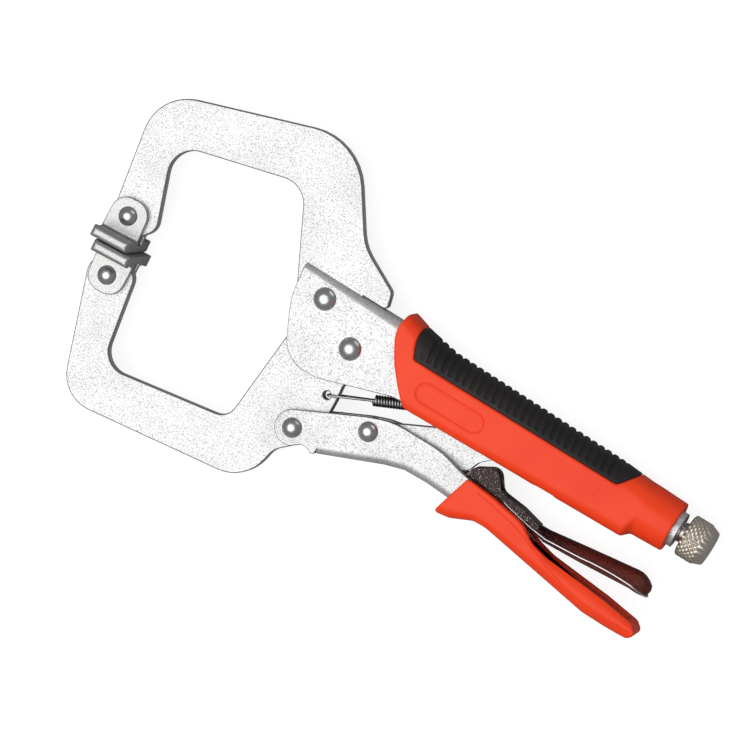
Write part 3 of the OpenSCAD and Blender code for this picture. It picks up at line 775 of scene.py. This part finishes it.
class CLAMP_OT_grips(bpy.types.Operator):
    """Orange mouldings with the recessed pill and the ribbed black inlay"""

    bl_idname = "clamp.grips"
    bl_label = "Grips"

    PILL_R = 4.15
    PILL_RIM_R = 0.3
    INLAY_FOOT = 10.3
    RIBS_FROM, RIBS_TO, RIB_LEAN = 27.5, 118.0, 0.18

    def execute(self, context):
        skin = sizes().grip_skin * 1.0
        self.upper(skin)
        self.inlay(skin)
        self.lower(skin)
        self.lining()
        return {"FINISHED"}

    def upper(self, skin):
        """The moulding, and the pill's raised rim laid on both its sides."""
        bm = moulded("upper_grip", skin, 3)
        new_piece("upper_grip_moulding", bm, orange_grip(), "body", "grip_orange", "upper_grip",
                  sharp=60.0)
        carrier = Carrier("upper_grip_moulding")
        front = carrier.seen_at(*IMAGE_POINTS["pill_front"])
        rear = carrier.seen_at(*IMAGE_POINTS["pill_rear"])
        inward = (rear - front).normalized() * self.PILL_R * MM
        front, rear = front + inward, rear - inward
        for side, name in ((1, "pill_rim"), (-1, "pill_rim_far")):
            loop = []
            for centre, turn in ((front, 90), (rear, -90)):
                for step in range(13):
                    a = math.radians(turn + 180 * step / 12)
                    loop.append(centre + self.PILL_R * MM * Vector((math.cos(a), math.sin(a), 0)))
            loop = [carrier.under(p, side) for p in loop]
            new_piece(name, tube(loop, self.PILL_RIM_R, True), orange_grip(), "body", "grip_orange",
                      sharp=80.0)

    def inlay(self, skin):
        """Ribs cut across both sides of the inlay, fading out at its ends and above its foot."""
        bm = moulded("grip_inlay", skin * 0.75, 2)
        bm.normal_update()
        size = sizes()
        first, last = self.RIBS_FROM, self.RIBS_TO
        for v in bm.verts:
            p = local(v.co)
            side = smoothstep(self.INLAY_FOOT + 1.6, self.INLAY_FOOT + 2.6, p.y)
            ends = smoothstep(first - 1.2, first, p.x) * (1.0 - smoothstep(last - 4.0, last - 2.0, p.x))
            outward = v.normal.z * p.z + max(0.0, v.normal.y) * 10.0
            if outward <= 0.0:
                continue
            phase = (p.x - first + self.RIB_LEAN * (p.y - 10.0)) / size.rib_pitch
            valley = smoothstep(0.35, 0.95, groove(phase))
            v.co -= v.normal * (size.rib_depth * MM * side * ends * valley)
        new_piece("grip_inlay_ribbed", bm, black_grip(), "body", "grip_black", "grip_inlay", sharp=60.0)

    # The lower grip's rim, in millimetres from the jaw pivot
    RIM = ((66.2, -18.6), (79.0, -19.9), (93.0, -22.5), (100.3, -26.6), (108.0, -28.8), (135.0, -31.3),
           (149.0, -33.4))

    # Its raised seam, which leaves the rim and runs down to the middle of the tail
    SEAM = ((70.0, -20.9), (83.0, -23.1), (90.5, -24.6), (96.0, -26.4), (102.0, -28.9), (110.0, -31.9),
            (118.0, -34.1), (124.0, -35.5), (129.0, -36.3), (138.6, -36.8), (150.0, -36.4))
    SEAM_R = 0.26

    # The tail's outer wall, which rolls in by ROLL_IN at the rim, and the steel channel's room inside
    TAIL_FROM, TAIL_FULL, WALL_OUTSIDE, ROLL_IN, WALL_SPAN = 100.0, 114.0, 7.3, 1.4, 1.5
    ROOM_HALF, TONGUE_HALF, TONGUE_STEPS, TONGUE_PITCH, TONGUE_START = 4.46, 4.0, 24, 2.03, 99.6

    def lower(self, skin):
        """The tail's walls roll over above the seam, which the photograph places."""
        bm = moulded("lower_grip", skin * 0.85, 2)
        for v in bm.verts:
            p = local(v.co)
            if p.x > self.TAIL_FROM and abs(p.z) > self.WALL_OUTSIDE:
                seam, rim = drop_at(self.SEAM, p.x), drop_at(self.RIM, p.x)
                rise = min(1.0, max(0.0, (p.y - seam) / (rim - seam)))
                along = smoothstep(self.TAIL_FROM, self.TAIL_FULL, p.x)
                v.co.z -= (math.copysign(self.ROLL_IN * MM, p.z) * rise ** 2 * along
                           * (abs(p.z) - self.WALL_OUTSIDE) / self.WALL_SPAN)
        new_piece("lower_grip_moulding", bm, orange_grip(), "handle", "grip_orange", "lower_grip",
                  sharp=60.0)
        carrier = Carrier("lower_grip_moulding")
        ends = [local(carrier.seen_at(*IMAGE_POINTS[name]))
                for name in ("grip_bead_front", "grip_bead_rear")]
        shift = sum(p.y - drop_at(self.SEAM, p.x) for p in ends) / 2
        for side, name in ((1, "lower_grip_bead"), (-1, "lower_grip_bead_far")):
            line = [at(x, drop_at(self.SEAM, x) + shift) for x in range(72, 151, 2)]
            line = [carrier.under(p, side) for p in line]
            new_piece(name, tube([p for p in line if p], self.SEAM_R), orange_grip(), "handle",
                      "grip_orange", sharp=80.0)

    def lining(self):
        """The orange tongue in the steel channel behind the lever's pivot, which fills it at the tail."""
        bm = bmesh.new()
        face = None
        room, half = self.ROOM_HALF, self.TONGUE_HALF
        for i in range(self.TONGUE_STEPS):
            x = self.TONGUE_START + i * self.TONGUE_PITCH
            top = drop_at(self.RIM, x) - 0.5
            floor = -27.2 - (x - 78.0) * 8.3 / 68.0
            bed = floor + 0.45 + (top - 0.2 - floor - 0.45) * smoothstep(103.0, 119.0, x)
            outline = ((-room, top), (-room, floor), (room, floor), (room, top), (half + 0.05, top),
                       (half, bed), (0, bed + 0.1), (-half, bed), (-half - 0.05, top))
            section = [at(x, y, z) for z, y in outline]
            if face is None:
                face = bm.faces.new([bm.verts.new(p) for p in section])
                continue
            grown = bmesh.ops.extrude_face_region(bm, geom=[face], use_keep_orig=i == 1)
            face = next(g for g in grown["geom"] if isinstance(g, bmesh.types.BMFace))
            for v, p in zip(face.verts, section):
                v.co = p
        bmesh.ops.recalc_face_normals(bm, faces=bm.faces)
        new_piece("lower_grip_lining", bm, orange_grip(), "handle", "grip_orange", sharp=30.0)


class CLAMP_OT_screw(bpy.types.Operator):
    """Threaded shank, knurled knob and the bush's polished end"""

    bl_idname = "clamp.screw"
    bl_label = "Adjusting screw"

    KNURL_LEAD = 4.4

    def execute(self, context):
        self.knob()
        self.shank()
        dress("screw_bush", "screw_bush_ring", screw_steel())
        return {"FINISHED"}

    def knob(self):
        """Crossed grooves round the knob's band, between a rolled front and a domed end."""
        low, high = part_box("adjusting_knob")
        start, end = local(low).x, local(high).x
        r = (high.z - low.z) / 2 / MM
        bore = (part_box("screw_shank")[1].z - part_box("screw_shank")[0].z) / 2 / MM + 0.05
        seat = start + 9.0
        band = (start + 1.0, end - 4.0)
        rows = 34
        steps = 6 * sizes().knurl_count
        profile = [(seat, 0.0), (seat, bore), (start, bore), (start, bore + 1.0), (start, r - 1.2),
                   (start + 0.25, r - 0.5)]
        profile += [(band[0] + (band[1] - band[0]) * i / rows, r) for i in range(rows + 1)]
        profile += [(band[1] + 0.35, r - 0.35), (end - 0.5, r - 1.55), (end - 0.1, r - 2.0),
                    (end, r - 2.5), (end - 0.1, r - 5.0), (end - 0.12, 0.0)]
        bm = revolve(profile, steps)
        axis = screw_axis(0)
        count = sizes().knurl_count
        for v in bm.verts:
            p = local(v.co)
            out = Vector((0, v.co.y - axis.y, v.co.z - axis.z))
            if band[0] - 0.01 <= p.x <= band[1] + 0.01 and out.length / MM > r - 0.1:
                turn = math.atan2(out.z, out.y) / math.tau * count
                run = (p.x - band[0]) / self.KNURL_LEAD * 2.0
                cut = max(smoothstep(0.3, 1.0, groove(turn + run)),
                          smoothstep(0.3, 1.0, groove(turn - run)))
                v.co -= out.normalized() * (sizes().knurl_depth * cut * MM)
        new_piece("knob_knurled", bm, knob_nickel(), "knob", "knob_nickel", "adjusting_knob", sharp=50.0)

    def shank(self):
        """A thread cut into the shank, up to the plain end that the knob holds."""
        low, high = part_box("screw_shank")
        start, end = local(low).x, local(high).x
        r = (high.z - low.z) / 2 / MM
        size = sizes()
        step = size.thread_pitch / 6
        rows = int((end - 10.0 - start - 1.0) / step)
        profile = [(start, 0.0), (start, r - 0.9), (start + 0.9, r)]
        profile += [(start + 1.0 + i * step, r) for i in range(rows + 1)]
        profile += [(end, r), (end, 0.0)]
        bm = revolve(profile, 36)
        axis = screw_axis(0)
        for v in bm.verts:
            p = local(v.co)
            out = Vector((0, v.co.y - axis.y, v.co.z - axis.z))
            if out.length / MM > r - 0.05 and start + 0.95 < p.x < end - 9.4:
                turn = math.atan2(out.z, out.y) / math.tau
                cut = groove(p.x / size.thread_pitch - turn)
                v.co -= out.normalized() * (size.thread_depth * smoothstep(0.1, 1.0, cut) * MM)
        new_piece("shank_threaded", bm, screw_steel(), "screw", "screw_steel", "screw_shank", sharp=70.0)


class CLAMP_OT_spring(bpy.types.Operator):
    """Close-coiled tension spring with its long hook"""

    bl_idname = "clamp.spring"
    bl_label = "Spring"

    # In millimetres: the coil's outside radius, its start and pitch along its own axis from the hole in
    # the moving jaw, and how far the hook stands out on each side
    COIL_R, COIL_FROM, PITCH = 2.4, 18.5, 1.12
    HOOK_HALF = 3.15

    def execute(self, context):
        hole, tongue = at(0.8, -20.8), at(70.0, 10.6)
        along = (tongue - hole).normalized()
        turn = Matrix.Translation(hole) @ along.to_track_quat("X", "Z").to_matrix().to_4x4()
        wire = sizes().coil_wire / 2
        coil_r = self.COIL_R - wire
        reach = (tongue - hole).length / MM + 2.6
        first, pitch = self.COIL_FROM, self.PITCH
        turns = int((reach - 10.0 - first) / pitch)
        near = self.HOOK_HALF
        steps = 20
        points = [Vector((first + 0.5, 0, 1.5)), Vector((12, 0, 2.3)), Vector((6.2, 0, near)),
                  Vector((1.4, 0, near))]
        points += [Vector((1.2 - 1.2 * math.sin(a), 0, near * math.cos(a)))
                   for a in [math.pi * i / 10 for i in range(11)]]
        points += [Vector((1.4, 0, -near)), Vector((6.2, 0, -near)), Vector((12, 0, -2.3)),
                   Vector((first + 0.5, 0, -1.5))]
        end = first + turns * pitch
        tail = [Vector((end - 0.5, 0, 1.6)), Vector((reach - 1.5, 0, 2.1))]
        tail += [Vector((reach - 1.5 + 1.5 * math.sin(a), 0, 2.1 * math.cos(a)))
                 for a in [math.pi * i / 8 for i in range(1, 8)]]
        tail += [Vector((reach - 1.5, 0, -2.1)), Vector((end - 0.5, 0, -1.6))]
        bm = bmesh.new()
        bmesh.ops.create_circle(bm, segments=8, radius=wire * MM,
                                matrix=Matrix.Translation((first * MM, 0, coil_r * MM)) @ Matrix.Rotation(
                                    math.pi / 2, 4, "X"))
        bmesh.ops.spin(bm, geom=bm.verts[:] + bm.edges[:], cent=(0, 0, 0), axis=(1, 0, 0),
                       dvec=(pitch * MM / steps, 0, 0), angle=math.tau * turns, steps=turns * steps)
        rings = [e for e in bm.edges if e.is_boundary]
        bmesh.ops.holes_fill(bm, edges=rings, sides=12)
        for way in (points, tail):
            join(bm, tube([p * MM for p in way], wire))
        bmesh.ops.recalc_face_normals(bm, faces=bm.faces)
        bmesh.ops.transform(bm, matrix=turn, verts=bm.verts)
        new_piece("spring_coil", bm, spring_steel(), "spring", "spring_steel", "tension_spring",
                  sharp=80.0)
        return {"FINISHED"}


class CLAMP_OT_pads(bpy.types.Operator):
    """Swivel pads folded from sheet, with hemmed ends"""

    bl_idname = "clamp.pads"
    bl_label = "Swivel pads"

    def execute(self, context):
        for node in ("upper_pad", "lower_pad"):
            bm = moulded(node, sizes().pad_skin, 5)
            new_piece(node + "_folded", bm, pad_steel(), BODY_OF[node], SLOT_OF[node], node, sharp=60.0)
        return {"FINISHED"}


class CLAMP_OT_stage(bpy.types.Operator):
    """Pale floor, soft studio light and the camera that took the photograph"""

    bl_idname = "clamp.stage"
    bl_label = "Stage"

    def execute(self, context):
        self.floor()
        self.lights()
        self.camera()
        context.scene.view_settings.view_transform = "Standard"
        return {"FINISHED"}

    def floor(self):
        bm = bmesh.new()
        bmesh.ops.create_grid(bm, x_segments=2, y_segments=2, size=4.0,
                              matrix=Matrix.Translation((0, 0, CAD_BOX[0][2] - 0.0001)))
        mesh = bpy.data.meshes.new("floor")
        bm.to_mesh(mesh)
        bm.free()
        floor = bpy.data.objects.new("floor", mesh)
        bpy.context.scene.collection.objects.link(floor)
        paper = bpy.data.materials.new("Studio paper")
        paper.use_nodes = True
        g = Graph(paper.node_tree)
        shader = paper.node_tree.nodes["Principled BSDF"]
        shader.inputs["Base Color"].default_value = (0.3, 0.3, 0.3, 1.0)
        shader.inputs["Roughness"].default_value = 1.0
        shader.inputs["Specular IOR Level"].default_value = 0.0
        shader.inputs["Emission Color"].default_value = (1.0, 1.0, 1.0, 1.0)
        seen_by_camera = g.add("ShaderNodeLightPath").outputs["Is Camera Ray"]
        g.link(g.math("MULTIPLY", seen_by_camera, 0.85), shader.inputs["Emission Strength"])
        mesh.materials.append(paper)
        floor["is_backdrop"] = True

    def lights(self):
        world = bpy.data.worlds.new("Studio")
        world.use_nodes = True
        sky = world.node_tree.nodes["Background"]
        sky.inputs["Color"].default_value = (0.96, 0.98, 1.0, 1.0)
        sky.inputs["Strength"].default_value = 0.28
        bpy.context.scene.world = world
        for name, shape, place, size, power in (
                ("Softbox", "DISK", (-0.25, -0.23, 1.4), (1.8, 1.8), 20.0),
                ("Strip", "RECTANGLE", (0.35, 1.45, 0.62), (1.0, 0.28), 1.6)):
            light = bpy.data.lights.new(name, "AREA")
            light.shape = shape
            light.size, light.size_y = size
            light.energy = power
            lamp = bpy.data.objects.new(name, light)
            lamp.location = place
            lamp.rotation_euler = (-Vector(place)).to_track_quat("-Z", "Y").to_euler()
            bpy.context.scene.collection.objects.link(lamp)

    def camera(self):
        lens = bpy.data.cameras.new("Camera")
        lens.lens = LENS
        lens.sensor_width = SENSOR
        lens.sensor_fit = "AUTO"
        lens.shift_x, lens.shift_y = SHIFT
        lens.clip_end = 20.0
        camera = bpy.data.objects.new("Camera", lens)
        right = CAMERA_RIGHT.normalized()
        back = right.cross(CAMERA_UP).normalized()
        turn = Matrix((right, back.cross(right), back)).transposed()
        camera.matrix_world = Matrix.Translation(at(*CAMERA_PLACE)) @ turn.to_4x4()
        bpy.context.scene.collection.objects.link(camera)
        bpy.context.scene.camera = camera


# ---- Image points ----


def seen(place):
    """Where a place shows in the photograph's frame, in pixels."""
    camera = bpy.context.scene.camera
    p = camera.matrix_world.inverted() @ Vector(place)
    scale = FOCAL_PX / -p.z
    return (FRAME_W / 2 + p.x * scale - SHIFT[0] * LONG_SIDE,
            FRAME_H / 2 - p.y * scale + SHIFT[1] * LONG_SIDE)


def finished_vertices(names=None):
    """Every vertex of the pieces, or of the named ones, as they are drawn."""
    graph = bpy.context.evaluated_depsgraph_get()
    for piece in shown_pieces():
        if names is None or piece.name in names:
            shape = piece.evaluated_get(graph)
            for v in shape.data.vertices:
                yield shape.matrix_world @ v.co


def measure_points():
    """Works out how far each thing shows from its image point, and keeps nothing of it."""
    spots = [seen(v) for v in finished_vertices()]
    found = {
        "object_left_x": (min(s[0] for s in spots), None),
        "object_right_x": (max(s[0] for s in spots), None),
        "object_top_y": (None, min(s[1] for s in spots)),
        "object_bottom_y": (None, max(s[1] for s in spots)),
    }
    for node in ("fixed_jaw_rivet", "jaw_pivot_rivet", "handle_pivot_rivet", "link_pivot_rivet",
                 "upper_pad_rivet", "lower_pad_rivet"):
        dome = [seen(v) for v in finished_vertices({node + "_dome"}) if v[2] > JAW_PIVOT.z]
        found[node] = tuple((min(s[i] for s in dome) + max(s[i] for s in dome)) / 2 for i in (0, 1))
    rim = [seen(v) for v in finished_vertices({"pill_rim"})]
    found["pill_front"] = min(rim, key=lambda s: 0.86 * s[0] + 0.51 * s[1])
    found["pill_rear"] = max(rim, key=lambda s: 0.86 * s[0] + 0.51 * s[1])
    bead = [seen(v) for v in finished_vertices({"lower_grip_bead"})]
    for name in ("grip_bead_front", "grip_bead_rear"):
        near = [s for s in bead if abs(s[0] - IMAGE_POINTS[name][0]) < 3.0] or bead
        found[name] = tuple(sum(s[i] for s in near) / len(near) for i in (0, 1))
    grip = [seen(v) for v in finished_vertices({"upper_grip_moulding"})]
    found["grip_front_tip"] = min(grip, key=lambda s: s[1])
    found["grip_collar_foot"] = max(grip, key=lambda s: s[1])
    lever = [seen(v) for v in finished_vertices({"lever_sheet"})]
    found["lever_tip"] = max(lever, key=lambda s: s[1])
    lower = [seen(v) for v in finished_vertices({"lower_grip_moulding"})]
    found["lower_grip_tip"] = max(lower, key=lambda s: s[0])
    for name, wanted in IMAGE_POINTS.items():
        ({"point": wanted, "off": [None if w is None else round(f - w, 1)
                                                 for f, w in zip(found[name], wanted)]})


# ---- Panel and start ----


OPERATORS = (CLAMP_OT_stage, CLAMP_OT_jaws, CLAMP_OT_channels, CLAMP_OT_rivets, CLAMP_OT_grips,
             CLAMP_OT_screw, CLAMP_OT_spring, CLAMP_OT_pads)


class CLAMP_PT_panel(bpy.types.Panel):
    """Lists the clamp's settings and pieces"""

    bl_idname = "CLAMP_PT_panel"
    bl_label = "Locking C Clamp"
    bl_space_type = "VIEW_3D"
    bl_region_type = "UI"
    bl_category = "Clamp"

    def draw(self, context):
        for group in (context.scene.clamp_sizes, context.scene.clamp_colours):
            box = self.layout.box()
            for name in group.__annotations__:
                box.prop(group, name)
        for operator in OPERATORS:
            self.layout.operator(operator.bl_idname)


CLASSES = (ClampSizes, ClampColours, *OPERATORS, CLAMP_PT_panel)


def register():
    for made in CLASSES:
        bpy.utils.register_class(made)
    bpy.types.Scene.clamp_sizes = bpy.props.PointerProperty(type=ClampSizes)
    bpy.types.Scene.clamp_colours = bpy.props.PointerProperty(type=ClampColours)


def unregister():
    del bpy.types.Scene.clamp_colours
    del bpy.types.Scene.clamp_sizes
    for made in reversed(CLASSES):
        bpy.utils.unregister_class(made)


def main():
    register()
    for operator in OPERATORS:
        getattr(bpy.ops.clamp, operator.bl_idname.split(".")[1])()
    bpy.context.view_layer.update()
    measure_points()


if __name__ == "__main__":
    main()
